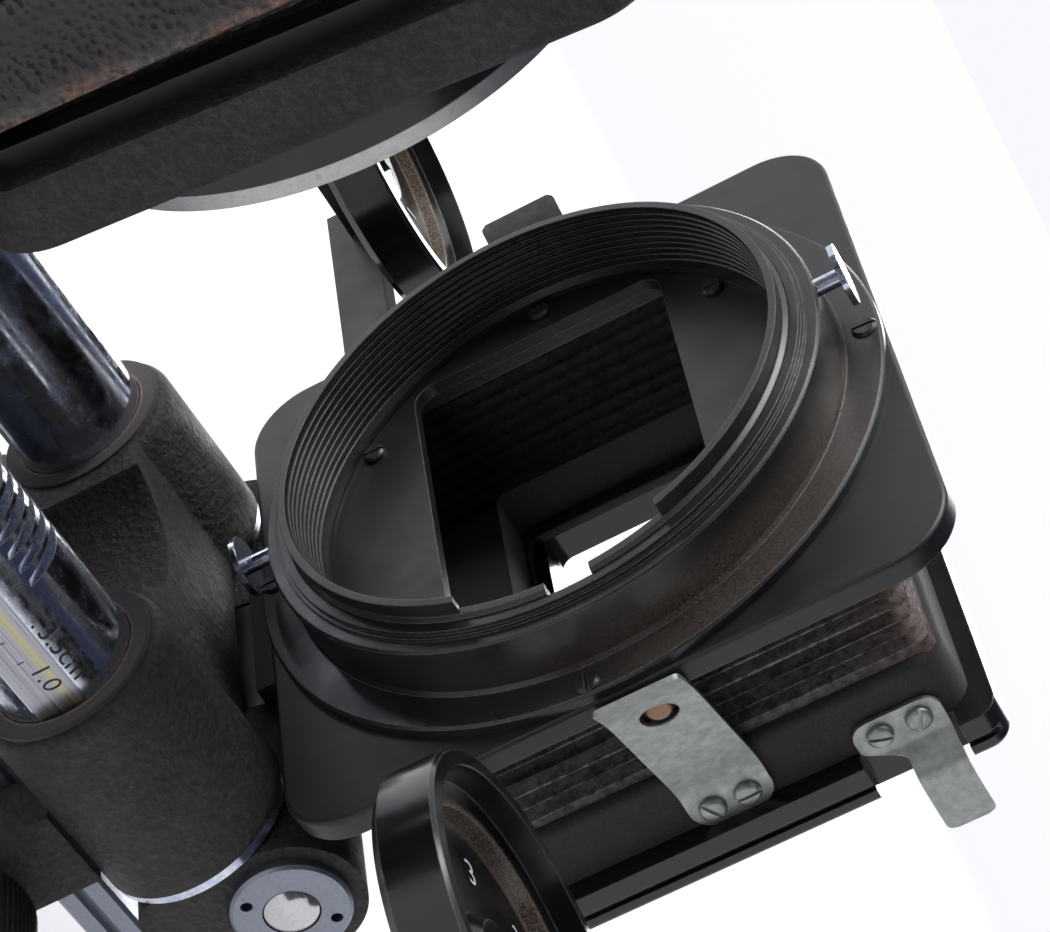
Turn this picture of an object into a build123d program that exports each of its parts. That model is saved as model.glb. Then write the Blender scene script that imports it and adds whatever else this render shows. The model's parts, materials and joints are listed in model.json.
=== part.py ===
"""Bellows bench camera with a square bellows hood, on two round rails over a bed bar.

Millimetres, +Z up. The origin is the centre of the tripod block's lower face, at the tripod thread.
+X runs along the rails from the rear standard to the hood; the optical axis is parallel to it.
"""

import os

from build123d import *

# Heights and rails
AXIS_Z = 98.0  # optical axis of the hood above the tripod block's lower face
RAIL_Z = 41.0
RAIL_Y = 26.5
RAIL_R = 9.0
RAIL_X0, RAIL_X1 = -122.0, 85.0
SLEEVE_R = 12.5
FIT = 0.06  # radial clearance of a running fit

# Bed bar and tripod block
BAR_X0, BAR_X1 = -92.0, 112.0
BAR_HALF = 24.0
BAR_Z0, BAR_Z1 = 18.5, 25.0
RACK_PITCH = 3.1416  # module 1
PINION_R = 6.0  # 12 teeth on the bar's rack
RAIL_RACK_PITCH = 2.2  # straight grooves milled across the near rail
RAIL_RACK_X0, RAIL_RACK_GAPS = -56.1, 45
RAIL_RACK_DEPTH, RAIL_RACK_TILT = 1.5, 16.0  # the grooves face up and a little to -Y
LENS_PINION_R = 4.2  # 12 teeth on the near rail's grooves
RACK_X0 = 55.0
BLOCK_L, BLOCK_W = 76.0, 56.0
BUSH_R = 4.76  # 3/8 inch tripod thread

# Lens standard, modelled upright about its tilt pivot and then leaned forward
LEAN = 5.4
PIVOT = (0.0, 60.0)
LENS_Z = 104.5
SLAB = 76.0
SLAB_X0, SLAB_X1 = -7.1, 1.5
BOSS_R = 33.0
BOSS_X1, RIM_X1 = 7.0, 9.0

# Hood
RING_X = 70.0  # front rim of the threaded ring
RING_R = 33.0
COLLAR_R = 37.85
FLANGE_R = 42.9
PLATE = 86.0
PLATE_X0, PLATE_X1 = RING_X + 13.0, RING_X + 16.0
HOOD_BELLOWS = 64.0
BELLOWS_X1 = RING_X + 36.0
FRAME_X1 = RING_X + 45.5
BACK_X1 = RING_X + 51.5
HOOD_PIVOT = (RING_X + 27.0, AXIS_Z - 50.0)
WHEEL_R = 24.5
WHEEL_X, WHEEL_Y = RING_X + 8.7, 82.0
WHEEL_Z0, WHEEL_Z1 = AXIS_Z - 20.0, AXIS_Z - 12.5

# Rear standard
REAR_Z = 106.0
REAR_X0, REAR_X1 = -100.0, -87.0
REAR_SIZE = 104.0
GLASS_HINGE = (-103.0, 57.5)


def block(x0, x1, y0, y1, z0, z1):
    """Box between two corners."""
    centre = ((x0 + x1) / 2, (y0 + y1) / 2, (z0 + z1) / 2)
    return Pos(*centre) * Box(x1 - x0, y1 - y0, z1 - z0)


def rod_x(r, x0, x1, y=0.0, z=0.0):
    """Round bar along X."""
    return Pos((x0 + x1) / 2, y, z) * Rot(0, 90, 0) * Cylinder(r, x1 - x0)


def rod_y(r, y0, y1, x=0.0, z=0.0):
    """Round bar along Y."""
    return Pos(x, (y0 + y1) / 2, z) * Rot(90, 0, 0) * Cylinder(r, y1 - y0)


def rod_z(r, z0, z1, x=0.0, y=0.0):
    """Round bar along Z."""
    return Pos(x, y, (z0 + z1) / 2) * Cylinder(r, z1 - z0)


def tube_x(r1, r0, x0, x1, y=0.0, z=0.0):
    """Tube along X, outer radius first."""
    return rod_x(r1, x0, x1, y, z) - rod_x(r0, x0 - 1, x1 + 1, y, z)


def sleeve(r, x0, x1, side, entry):
    """Solid sleeve on one rail, rounded at its x0 end."""
    body = rod_x(r, x0, x1, side * RAIL_Y, RAIL_Z)
    return fillet(body.edges().filter_by(GeomType.CIRCLE).group_by(Axis.X)[0], entry)


def panel(wide, tall, corner, x0, x1, y=0.0, z=0.0):
    """Flat panel across the optical axis with rounded corners."""
    face = Plane.YZ.offset(x0) * Pos(y, z) * RectangleRounded(wide, tall, corner)
    return extrude(face, amount=x1 - x0)


def spin_x(points, z):
    """Solid of revolution about the axis at height z; points are (x, radius)."""
    outline = make_face(Plane.XZ * Polyline(*points, close=True))
    return Pos(0, 0, z) * revolve(outline, Axis.X)


def both_sides(make):
    """The near and the far copy of something made for a side of -1 or 1."""
    return [make(-1), make(1)]


def compound(solids):
    """Several separate solids in one node."""
    return Compound(children=[s for s in solids])


def lean(shape):
    """Lean a lens standard piece forward about its pivot."""
    axis = Axis((PIVOT[0], 0, PIVOT[1]), (0, 1, 0))
    return shape.rotate(axis, LEAN)


def slotted_screw(r, height, shank):
    """Slotted cheese-head screw, head up along +Z, seated at Z = 0."""
    head = rod_z(r, 0, height)
    head = chamfer(head.edges().group_by(Axis.Z)[-1], r * 0.2)
    slot = block(-r * 2, r * 2, -r * 0.14, r * 0.14, height * 0.45, height + 1)
    return head - slot + rod_z(r * 0.55, -shank, 0.01)


# --- bench ---------------------------------------------------------------------------------------


def bench_nodes():
    """Rails, bed bar, tripod block, saddle and rear standard, all fixed together."""
    nodes = {}
    bar = block(BAR_X0, BAR_X1, -BAR_HALF, BAR_HALF, BAR_Z0, BAR_Z1)
    bar = chamfer(bar.edges().filter_by(Axis.X), 0.5)
    for side in (-1, 1):
        edge = side * BAR_HALF
        bar -= block(BAR_X0 - 1, BAR_X1 + 1, edge - 1.4, edge + 1.4, 21.0, 22.4)
    nodes["bed_bar"] = bar - block(RACK_X0, BAR_X1 + 1, -5.0, 5.0, BAR_Z0 - 1, BAR_Z0 + 1.5)

    outline = [(RACK_X0, BAR_Z0 + 1.5), (RACK_X0, BAR_Z0 - 0.6)]
    for i in range(int((BAR_X1 - RACK_X0 - 2) / RACK_PITCH)):
        x = RACK_X0 + 2 + i * RACK_PITCH
        gap = x + RACK_PITCH / 2
        outline += [(x, BAR_Z0 - 0.6), (x + 0.3, BAR_Z0 + 0.6)]
        outline += [(gap - 0.3, BAR_Z0 + 0.6), (gap, BAR_Z0 - 0.6)]
    outline += [(BAR_X1, BAR_Z0 - 0.6), (BAR_X1, BAR_Z0 + 1.5)]
    side_face = Plane.XZ.offset(-5.0) * make_face(Polyline(*outline, close=True))
    nodes["bar_rack"] = extrude(side_face, amount=10.0)

    foot = block(-BLOCK_L / 2, BLOCK_L / 2, -BLOCK_W / 2, BLOCK_W / 2, 0, BAR_Z0)
    foot = fillet(foot.edges().filter_by(Axis.Z), 6)
    foot = chamfer(foot.edges().group_by(Axis.Z)[-1], 1)
    foot -= block(-60, 60, -11, 11, 7.0, BAR_Z0 + 1)
    foot -= rod_z(7.0, -1, 8)
    nodes["tripod_block"] = foot
    nodes["tripod_bush"] = rod_z(7.0, 0, 7.0) - rod_z(BUSH_R, -1, 8)

    rail = rod_x(RAIL_R, RAIL_X0, RAIL_X1, 0, RAIL_Z)
    rail = chamfer(rail.edges().filter_by(GeomType.CIRCLE), 0.6)
    nodes["far_rail"] = Pos(0, RAIL_Y, 0) * rail
    flat = block(-60, RAIL_X1 + 1, -RAIL_R - 1, -RAIL_R + 0.6, RAIL_Z - 6, RAIL_Z + 6)
    floor_z = RAIL_R - RAIL_RACK_DEPTH
    gap = [(-0.35, floor_z), (-0.9, RAIL_R + 0.5), (0.9, RAIL_R + 0.5), (0.35, floor_z)]
    gap = extrude(Plane.XZ * make_face(Polyline(*gap, close=True)), amount=RAIL_R, both=True)
    gaps = [
        Pos(RAIL_RACK_X0 + i * RAIL_RACK_PITCH, 0, RAIL_Z) * Rot(RAIL_RACK_TILT, 0, 0) * gap
        for i in range(RAIL_RACK_GAPS)
    ]
    nodes["near_rail"] = Pos(0, -RAIL_Y, 0) * (rail - gaps - flat)

    saddle = block(-78, -56, -20, 20, RAIL_Z - 10, RAIL_Z + 4)
    saddle += block(-78, -56, -16, 16, BAR_Z1, RAIL_Z - 9)
    for side in (-1, 1):
        saddle += sleeve(12.0, -78, -56, side, 1.5)
    for side in (-1, 1):
        saddle -= rod_x(RAIL_R, -80, -54, side * RAIL_Y, RAIL_Z)
    nodes["centre_saddle"] = saddle

    def saddle_bolt(x, y):
        head = rod_z(3.6, RAIL_Z + 4, RAIL_Z + 7.5, x, y)
        socket = extrude(Plane.XY.offset(RAIL_Z + 5.5) * Pos(x, y) * RegularPolygon(1.9, 6), 3)
        return head - socket

    carriage = block(-113, -88, -20, 20, RAIL_Z - 10, RAIL_Z + 9)
    for side in (-1, 1):
        carriage += sleeve(SLEEVE_R, -113, -86, side, 1.5)
    carriage += block(-100, -88, -13.5, 13.5, RAIL_Z, REAR_Z - REAR_SIZE / 2)
    for side in (-1, 1):
        carriage -= rod_x(RAIL_R, -120, -80, side * RAIL_Y, RAIL_Z)
    nodes["rear_carriage"] = carriage

    def clamp_screw(side):
        y = side * RAIL_Y
        knob = rod_z(6.0, 10.0, 22.0, -104, y)
        knob = chamfer(knob.edges().filter_by(GeomType.CIRCLE), 0.6)
        return knob + rod_z(2.0, 21.5, RAIL_Z - SLEEVE_R, -104, y)

    nodes["bench_screws"] = compound(
        both_sides(clamp_screw) + [saddle_bolt(-67, y) for y in (-9, 9)]
    )

    frame = panel(REAR_SIZE, REAR_SIZE, 8, REAR_X0, REAR_X1, 0, REAR_Z)
    frame = fillet(frame.edges().group_by(Axis.X)[-1], 1.5)
    frame -= panel(84, 84, 4, REAR_X0 - 1, REAR_X1 + 1, 0, REAR_Z)
    x, z = GLASS_HINGE
    for y0, y1 in ((-30, -24), (24, 30)):
        frame += block(x, REAR_X0 + 0.5, y0, y1, z - 2.6, z + 2.5) + rod_y(2.6, y0, y1, x, z)
    nodes["rear_frame"] = frame - rod_y(1.5, -31, 31, x, z)
    flange = panel(92, 92, 4, REAR_X1, REAR_X1 + 2.5, 0, REAR_Z)
    nodes["rear_bellows_frame"] = flange - panel(80, 80, 3, -110, -80, 0, REAR_Z)

    nodes["glass_hinge_pin"] = rod_y(1.5, -30, 30, x, z)
    return nodes


def glass_back_nodes():
    """Ground glass back, hinged at its lower edge."""
    nodes = {}
    x, z = GLASS_HINGE
    back = panel(92, 92, 5, -106, REAR_X0 - 0.4, 0, REAR_Z + 1)
    back = fillet(back.edges().group_by(Axis.X)[0], 1.5)
    back -= panel(76, 76, 2, -107, -90, 0, REAR_Z + 1)
    back -= panel(80, 80, 2, -103.6, -90, 0, REAR_Z + 1)
    knuckle = rod_y(2.6, -23.6, 23.6, x, z) + block(x - 2.6, x + 2.2, -23.6, 23.6, z, z + 5)
    for side in (-1, 1):
        back -= block(-110, -90, *sorted((side * 23.6, side * 31)), 50, z + 3.6)
    back += knuckle
    nodes["glass_frame"] = back - rod_y(1.5 + FIT, -40, 40, x, z)
    nodes["ground_glass"] = panel(79.8, 79.8, 1.8, -103.5, -101.5, 0, REAR_Z + 1)
    return nodes


# --- lens side -----------------------------------------------------------------------------------


def near_start(x0, side, lead):
    """Start of a sleeve or felt; the near one reaches `lead` further toward the lens."""
    return x0 - lead if side < 0 else x0


def double_sleeve(x0, x1, web, scoop=0.0, lead=0.0):
    """Two sleeves on the rails joined by a web of half width `web`, hollowed at its x0 end."""
    body = block(x0, x1, -web, web, RAIL_Z - 9, RAIL_Z + 8)
    if scoop:
        body -= rod_z(14.0, 0, AXIS_Z, x0 + scoop - 14.0, 0)
    for side in (-1, 1):
        body += sleeve(SLEEVE_R, near_start(x0, side, lead), x1, side, 2.0)
    return body


def bore_sleeves(body, x0, x1, lead=0.0):
    """Rail bores with a counterbore for a felt ring at the x0 end."""
    for side in (-1, 1):
        start = near_start(x0, side, lead)
        body -= rod_x(RAIL_R + FIT, start - 5, x1 + 5, side * RAIL_Y, RAIL_Z)
        body -= rod_x(11.4, start - 5, start + 2.0, side * RAIL_Y, RAIL_Z)
    return body


def felt_rings(x0, lead=0.0):
    """Felt wiper rings in the counterbores."""

    def ring(side):
        start = near_start(x0, side, lead)
        return tube_x(11.4, RAIL_R + 0.1, start - 0.3, start + 2.0, side * RAIL_Y, RAIL_Z)

    return compound(both_sides(ring))


def pinion(x, y, z, count, tip, depth, thick, phase, wide):
    """Spur pinion about Y with straight teeth `depth` deep; `phase` is its first tooth's angle."""
    tooth = Pos(tip - depth / 2 - 0.2, 0, 0) * Box(depth + 0.4, wide, thick)
    teeth = [Pos(x, y, z) * Rot(0, phase + i * 360 / count, 0) * tooth for i in range(count)]
    return rod_y(tip - depth, y - wide / 2, y + wide / 2, x, z) + teeth


def drive_nodes(prefix, gear, x, z, knob_y, knob_r):
    """Cross shaft carrying a pinion, with a knurled knob at each end."""
    nodes = {}
    reach = knob_y + 11.0
    nodes[prefix + "_drive_pinion"] = gear + rod_y(2.5, -reach, reach, x, z)

    def knob(side):
        y0, y1 = sorted((side * knob_y, side * (knob_y + 11.5)))
        body = rod_y(knob_r, y0, y1, x, z)
        body = chamfer(body.edges().filter_by(GeomType.CIRCLE), 0.7)
        ring = rod_y(knob_r - 1.7, -90, 90, x, z) - rod_y(knob_r - 2.1, -90, 90, x, z)
        g0, g1 = sorted((side * (knob_y + 10.9), side * (knob_y + 12)))
        body -= ring & block(x - 20, x + 20, g0, g1, z - 20, z + 20)
        return body - rod_y(2.5, -reach, reach, x, z)

    nodes[prefix + "_drive_knobs"] = compound(both_sides(knob))
    return nodes


def hood_drive_arms(x, foot_x0, foot_x1):
    """Arms from the carriage down past the bed bar's edges to the drive shaft."""
    z = BAR_Z0 - PINION_R
    arms = block(foot_x0, foot_x1, -34, 34, RAIL_Z - 13.5, RAIL_Z - 11.0)
    arms += block(foot_x0, foot_x1, -13, 13, RAIL_Z - 13.5, RAIL_Z - 9.0)
    for side in (-1, 1):
        y0, y1 = sorted((side * (BAR_HALF + 1.2), side * 34))
        arms += block(foot_x0, foot_x1, y0, y1, z, RAIL_Z - 11.0)
        arms += rod_y(6.5, y0, y1, x, z)
        arms -= rod_y(2.5 + FIT, y0 - 1, y1 + 1, x, z)
    return arms


LENS_DRIVE_X = RAIL_RACK_X0 + 19 * RAIL_RACK_PITCH
LENS_DRIVE_Z = RAIL_Z + RAIL_R + LENS_PINION_R - 0.6
LENS_SLEEVE_X0, LENS_SLEEVE_X1 = -22.0, 12.0


def lens_carriage_nodes():
    """Sliding carriage that carries the lens standard."""
    nodes = {}
    body = double_sleeve(LENS_SLEEVE_X0, LENS_SLEEVE_X1, 20)
    for side in (-1, 1):
        y0, y1 = sorted((side * 7, side * 13.5))
        lug = block(LENS_DRIVE_X - 4.5, LENS_DRIVE_X + 4.5, y0, y1, RAIL_Z + 7, LENS_DRIVE_Z)
        body += lug + rod_y(4.5, y0, y1, LENS_DRIVE_X, LENS_DRIVE_Z)
    body -= rod_y(2.5 + FIT, -14, 14, LENS_DRIVE_X, LENS_DRIVE_Z)
    for side in (-1, 1):
        y0, y1 = sorted((side * 14, side * 45))
        body -= rod_y(3.0, y0, y1, LENS_DRIVE_X, LENS_DRIVE_Z)
    window = block(LENS_DRIVE_X - 5, LENS_DRIVE_X + 5, -32, -25, RAIL_Z + 5, RAIL_Z + 14)
    body -= window
    x, z = PIVOT
    for side in (-1, 1):
        y0, y1 = sorted((side * 8.3, side * 13.5))
        body += block(x - 4.4, x + 4.4, y0, y1, RAIL_Z + 7, z)
        body += rod_y(4.4, y0, y1, x, z)
        body -= rod_y(2.0 + FIT, y0 - 1, y1 + 1, x, z)
    nodes["lens_carriage"] = bore_sleeves(body, LENS_SLEEVE_X0, LENS_SLEEVE_X1)
    nodes["lens_carriage_felts"] = felt_rings(LENS_SLEEVE_X0)
    end = LENS_SLEEVE_X1
    nodes["lens_carriage_caps"] = compound(
        both_sides(lambda s: tube_x(SLEEVE_R, 9.6, end, end + 1.2, s * RAIL_Y, RAIL_Z))
    )
    middle = panel(74, 74, 4, -29.0, -25.5, 0, REAR_Z) - panel(60, 60, 3, -40, -20, 0, REAR_Z)
    stem = block(-28.6, -25.9, -6, 6, RAIL_Z + 2, REAR_Z - 36)
    stem += block(-28.6, LENS_SLEEVE_X0 + 1, -6, 6, RAIL_Z + 2, RAIL_Z + 7)
    stem -= double_sleeve(LENS_SLEEVE_X0, LENS_SLEEVE_X1, 20)
    nodes["bellows_middle_frame"] = middle + stem
    return nodes


def tilt_bolt_nodes():
    """Through bolt and two knurled nuts that lock the lens tilt."""
    x, z = PIVOT
    bolt = rod_y(2.0, -22, 22, x, z)

    def nut(side):
        y0, y1 = sorted((side * 13.8, side * 23))
        body = rod_y(5.4, y0, y1, x, z)
        return chamfer(body.edges().filter_by(GeomType.CIRCLE), 0.6)

    return {"tilt_bolt": bolt + nut(-1) + nut(1)}


def lens_standard_nodes():
    """Lens frame and lens, leaned forward about the tilt pivot."""
    nodes = {}
    x, z = PIVOT
    slab = panel(SLAB, SLAB, 9, SLAB_X0, SLAB_X1, 0, LENS_Z)
    slab = fillet(slab.edges().group_by(Axis.X)[-1], 1.6)
    slab -= panel(60, 60, 3, SLAB_X0 - 1, SLAB_X1 + 1, 0, LENS_Z)
    foot = block(-4.0, 1.5, -8, 8, z, LENS_Z - 35)
    foot += rod_y(4.4, -8, 8, x, z)
    foot -= panel(60, 60, 3, SLAB_X0 - 1, SLAB_X1 + 1, 0, LENS_Z)
    nodes["lens_frame"] = slab + foot - rod_y(2.0 + FIT, -9, 9, x, z)
    mount = panel(68, 68, 4, SLAB_X0 - 2.4, SLAB_X0, 0, LENS_Z)
    nodes["lens_bellows_frame"] = mount - panel(54, 54, 3, -20, 0, 0, LENS_Z)

    board = panel(59.9, 59.9, 3, SLAB_X0 + 2, SLAB_X1, 0, LENS_Z)
    board += rod_x(BOSS_R, SLAB_X1, BOSS_X1, 0, LENS_Z)
    nodes["lens_panel"] = board - rod_x(24.0, -20, 20, 0, LENS_Z)
    nodes["lens_rim"] = tube_x(BOSS_R, 27.2, BOSS_X1, RIM_X1, 0, LENS_Z)
    barrel = tube_x(24.0, 21.0, -16, 9.5, 0, LENS_Z)
    barrel += tube_x(21.5, 9.0, -4, -2.5, 0, LENS_Z)
    nodes["lens_barrel"] = barrel

    def element(x_front, x_back, sag, r=21.0):
        """Lens element with a convex front face."""
        face = make_face(
            Plane.XZ
            * (
                ThreePointArc((x_front - sag, r), (x_front, 0), (x_front - sag, -r))
                + Polyline((x_front - sag, -r), (x_back, -r), (x_back, r), (x_front - sag, r))
            )
        )
        half = face & (Plane.XZ * Pos(0, 50) * Rectangle(200, 100))
        return Pos(0, 0, LENS_Z) * revolve(half, Axis.X)

    nodes["lens_front_glass"] = element(8.0, 1.0, 4.0)
    nodes["lens_rear_glass"] = element(-8.0, -13.0, 2.5)
    blades = tube_x(20.9, 7.0, -2.4, -1.6, 0, LENS_Z)
    nodes["aperture_blades"] = blades
    return {name: lean(shape) for name, shape in nodes.items()}


def aperture_nodes():
    """Aperture ring round the front of the barrel."""
    ring = tube_x(26.9, 24.0 + FIT, BOSS_X1 + 0.3, 11.0, 0, LENS_Z)
    ring = chamfer(ring.edges().group_by(Axis.X)[-1], 0.5)
    return {"aperture_ring": lean(ring)}


def soft_bellows(x0, x1, size0, size1, z, wall, corner):
    """Hollow square bellows between two frames, as a plain tapered sleeve."""
    ends = [
        Plane.YZ.offset(x0) * Pos(0, z) * RectangleRounded(size0, size0, corner),
        Plane.YZ.offset(x1) * Pos(0, z) * RectangleRounded(size1, size1, corner),
    ]
    holes = [
        Plane.YZ.offset(x0) * Pos(0, z) * RectangleRounded(size0 - wall, size0 - wall, corner / 2),
        Plane.YZ.offset(x1) * Pos(0, z) * RectangleRounded(size1 - wall, size1 - wall, corner / 2),
    ]
    return loft(ends) - loft(holes)


def bellows_nodes():
    """Main leather bellows in two lengths, behind and before the middle frame."""
    rear = soft_bellows(REAR_X1 + 2.5, -29.0, 88, 72, REAR_Z, 16, 4)
    front = soft_bellows(-25.5, -14.5, 76, 76, REAR_Z, 14, 4)
    return {"main_bellows": rear, "front_bellows": front}


# --- hood side -----------------------------------------------------------------------------------

HOOD_SLEEVE_X0, HOOD_SLEEVE_X1 = RING_X - 8.0, RING_X + 16.0
HOOD_NEAR_LEAD = 4.5
HOOD_DRIVE_X = RING_X + 7.0
HOOD_PINION_PHASE = -93.5  # a tooth stands in the rack gap 0.37 mm behind the shaft


def hood_carriage_nodes():
    """Carriage on the rail ends with the pivot block of the hood."""
    nodes = {}
    body = double_sleeve(HOOD_SLEEVE_X0, HOOD_SLEEVE_X1, 20, 7.0, HOOD_NEAR_LEAD)
    px, pz = HOOD_PIVOT
    housing = block(HOOD_SLEEVE_X1 + 1.6, px + 10, -36.5, 36.5, RAIL_Z - 10, pz)
    housing += rod_y(9.4, -36.5, 36.5, px, pz)
    housing = fillet(housing.edges().filter_by(Axis.Y).group_by(Axis.Z)[0], 3)
    body += housing
    body += block(HOOD_SLEEVE_X1 - 2, px, -13, 13, RAIL_Z - 10, RAIL_Z + 4)
    body += hood_drive_arms(HOOD_DRIVE_X, HOOD_DRIVE_X - 6, HOOD_DRIVE_X + 6)
    body -= rod_y(10.4, -10.4, 10.4, px, pz)
    body -= block(px - 11, px + 12, -10.4, 10.4, pz, pz + 20)
    body -= rod_y(3.5 + FIT, -40, 40, px, pz)
    nodes["hood_carriage"] = bore_sleeves(body, HOOD_SLEEVE_X0, HOOD_SLEEVE_X1, HOOD_NEAR_LEAD)
    nodes["hood_carriage_felts"] = felt_rings(HOOD_SLEEVE_X0, HOOD_NEAR_LEAD)
    end = HOOD_SLEEVE_X1
    nodes["hood_sleeve_caps"] = compound(
        both_sides(lambda s: rod_x(SLEEVE_R - 0.2, end, end + 1.3, s * RAIL_Y, RAIL_Z))
    )

    def disc(side):
        y0, y1 = sorted((side * 36.5, side * 37.9))
        body = rod_y(7.5, y0, y1, px, pz)
        body = chamfer(body.edges().group_by(Axis.Y)[0 if side < 0 else -1], 0.4)
        for dx, dz in ((-3.8, -4.1), (3.8, 4.1)):
            body -= rod_y(0.75, y0 - 1, y1 + 1, px + dx, pz + dz)
        return body - rod_y(3.5 + FIT, -40, 40, px, pz)

    nodes["pivot_discs"] = compound(both_sides(disc))
    return nodes


def hood_nodes():
    """Front of the hood: pivot shaft and foot, plate, flange, threaded ring, mask, wheel arms."""
    nodes = {}
    px, pz = HOOD_PIVOT
    shaft = rod_y(3.5, -38.2, 38.2, px, pz)
    shaft = fillet(shaft.edges().filter_by(GeomType.CIRCLE), 1.2)
    nodes["hood_pivot_shaft"] = shaft

    foot = rod_y(9.2, -10, 10, px, pz)
    foot += block(PLATE_X1, px, -10, 10, pz + 3.2, AXIS_Z - 35.5)
    foot -= block(PLATE_X1 + 5, px + 20, -11, 11, pz + 9.2, AXIS_Z)
    nodes["hood_foot"] = foot - rod_y(3.5, -40, 40, px, pz)

    plate = panel(PLATE, PLATE, 9, PLATE_X0, PLATE_X1, 0, AXIS_Z)
    plate = fillet(plate.edges().group_by(Axis.X)[0], 0.6)
    nodes["hood_plate"] = plate - panel(58, 44, 3, 60, 100, 0, AXIS_Z)

    x = RING_X
    collar = [
        (x + 2.8, 34.5),
        (x + 2.8, 35.7),
        (x + 3.4, 35.7),
        (x + 3.4, 36.2),
        (x + 3.9, 36.2),
        (x + 3.9, COLLAR_R - 0.3),
        (x + 4.2, COLLAR_R),
        (x + 11.0, COLLAR_R),
        (x + 11.6, COLLAR_R + 0.3),
        (x + 11.6, FLANGE_R - 0.3),
        (x + 11.9, FLANGE_R),
        (x + 13.0, FLANGE_R),
        (x + 13.0, 34.5),
    ]
    collar = spin_x(collar, AXIS_Z)
    for side in (-1, 1):
        z0, z1 = sorted((AXIS_Z + side * 33, AXIS_Z + side * 39))
        collar -= rod_z(1.1 + FIT, z0, z1, x + 5.2, 0)
    nodes["hood_flange"] = collar

    thread = [(x, RING_R + 1.0), (x, RING_R)]
    turns, pitch = 9, 1.0
    for i in range(turns):
        x0 = x + 0.7 + i * pitch
        thread += [(x0, RING_R - 0.1), (x0 + 0.25, RING_R + 0.35), (x0 + 0.5, RING_R - 0.1)]
    thread += [(x + 10.2, RING_R - 0.5), (x + 11.0, RING_R - 0.5), (x + 11.0, 34.45)]
    thread += [(x + 2.6, 34.45), (x + 2.2, 33.9)]
    ring = spin_x(thread, AXIS_Z)
    ring -= block(x - 1, x + 2.2, -45, 0, AXIS_Z - 13.0, AXIS_Z + 13.0)
    ring -= block(x - 1, x + 4.0, -45, 0, AXIS_Z - 2.5, AXIS_Z + 3.2)
    nodes["thread_ring"] = ring

    mask = rod_x(34.4, x + 11.1, x + 12.9, 0, AXIS_Z)
    nodes["inner_mask"] = mask - panel(54, 36, 3, 60, 100, 0, AXIS_Z)

    def mask_screw(y, z):
        screw = slotted_screw(1.5, 0.8, 0.0)
        return Pos(x + 11.1, y, AXIS_Z + z) * Rot(0, -90, 0) * screw

    spots = [(30.6, 1.5), (-30.6, 1.5), (18, 24.5), (18, -24.5), (-18, 24.5), (-18, -24.5)]
    mask_set = [mask_screw(y, z) for y, z in spots]

    def ring_screw(angle):
        place = Rot(angle, 0, 0) * Pos(0, 0, 40.9) * Rot(0, -90, 0)
        return Pos(x + 11.6, 0, AXIS_Z) * place * slotted_screw(1.7, 0.5, 0.0)

    nodes["hood_screws"] = compound(mask_set + [ring_screw(a) for a in (4, 94, 184, 274)])

    def stud(side):
        y0, y1 = sorted((side * 36.8, side * 39.6))
        lug = block(PLATE_X1, PLATE_X1 + 6, y0, y1, AXIS_Z, AXIS_Z + 5)
        t0, t1 = sorted((side * 39, side * 41.3))
        post = rod_y(1.9, t0, t1, RING_X + 19.6, AXIS_Z + 2.4)
        post = fillet(post.edges().group_by(Axis.Y)[0 if side < 0 else -1], 0.9)
        return lug + post

    nodes["latch_studs"] = compound(both_sides(stud))

    def arm(side):
        y0, y1 = sorted((side * 37.5, side * (WHEEL_Y + 4)))
        bar = block(PLATE_X1, PLATE_X1 + 3.5, y0, y1, AXIS_Z - 29, AXIS_Z - 21.6)
        s0, s1 = sorted((side * (WHEEL_Y - 4), side * (WHEEL_Y + 4)))
        bar += block(WHEEL_X - 4, PLATE_X1 + 1, s0, s1, AXIS_Z - 25.5, AXIS_Z - 21.6)
        return bar + rod_z(2.0, AXIS_Z - 23, AXIS_Z - 15.5, WHEEL_X, side * WHEEL_Y)

    nodes["wheel_arms"] = compound(both_sides(arm))
    return nodes


def spring_pin(side):
    """Radial spring pin through the collar, above (1) or below (-1) the axis."""
    x = RING_X + 5.2
    z0, z1 = sorted((side * 35.6, side * 41.2))
    stem = rod_z(1.1, z0, z1, x, 0)
    d0, d1 = sorted((side * 41.0, side * 41.8))
    head = rod_z(4.0, d0, d1, x, 0)
    return Pos(0, 0, AXIS_Z) * (stem + head)


def side_wheel(side):
    """Dished wheel with a stepped floor, turning on an upright spindle."""
    profile = [
        (2.0 + FIT, WHEEL_Z0),
        (WHEEL_R - 1.0, WHEEL_Z0),
        (WHEEL_R, WHEEL_Z0 + 1.0),
        (WHEEL_R, WHEEL_Z1 - 0.4),
        (WHEEL_R - 0.4, WHEEL_Z1),
        (WHEEL_R - 2.2, WHEEL_Z1),
        (WHEEL_R - 2.6, WHEEL_Z0 + 4.6),
        (WHEEL_R - 5.4, WHEEL_Z0 + 4.2),
        (WHEEL_R - 5.8, WHEEL_Z0 + 2.4),
        (8.0, WHEEL_Z0 + 2.0),
        (6.5, WHEEL_Z0 + 3.6),
        (2.0 + FIT, WHEEL_Z0 + 3.6),
    ]
    outline = make_face(Plane.XZ * Polyline(*profile, close=True))
    return Pos(WHEEL_X, side * WHEEL_Y, 0) * revolve(outline, Axis.Z)


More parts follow.
